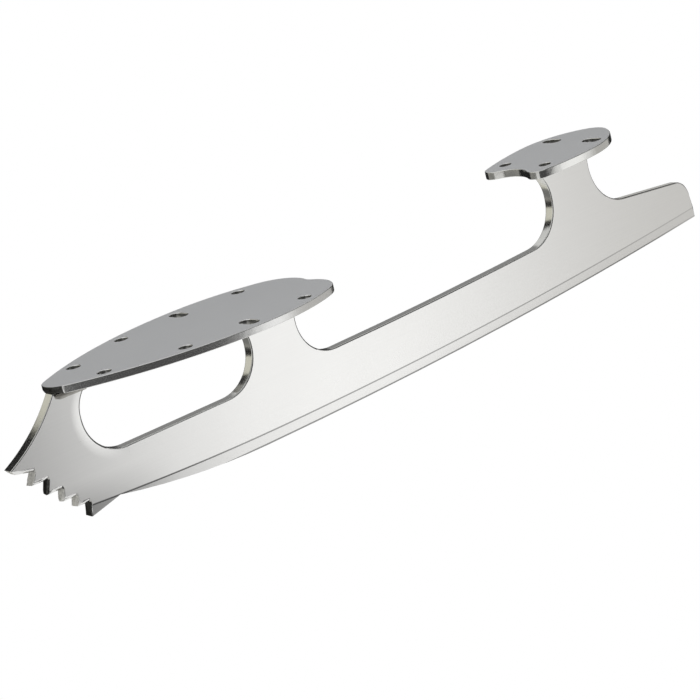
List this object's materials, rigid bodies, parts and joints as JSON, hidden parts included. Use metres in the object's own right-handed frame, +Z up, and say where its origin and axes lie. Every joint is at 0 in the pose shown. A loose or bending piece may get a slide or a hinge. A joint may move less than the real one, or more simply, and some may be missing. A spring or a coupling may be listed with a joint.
{
  "type": "figure skate blade",
  "caption": "Figure skate blade: a flat steel runner with toe picks, a hollow-ground edge and stanchions, brazed under a sole plate and a tilted heel plate.",
  "frame": {"origin": "middle of the sole plate's screw pattern, on the mounting face that bears on the boot", "axes": "+X back towards the heel, +Z up towards the boot, the runner in the X-Z plane"},
  "size_m": [0.3119, 0.0496, 0.0562],
  "materials": {
    "runner_steel": "plated steel, polished to a soft satin shine, with a ground band and a ground edge",
    "plate_steel": "plated sheet steel, satin faces and polished rims",
    "braze": "smooth braze fillets under the plating"
  },
  "bodies": {
    "root": {"runner": "runner_steel", "sole_plate": "plate_steel", "heel_plate": "plate_steel", "toe_braze_left": "braze", "toe_braze_right": "braze", "mid_braze_left": "braze", "mid_braze_right": "braze", "heel_braze_left": "braze", "heel_braze_right": "braze"}
  },
  "joints": []
}
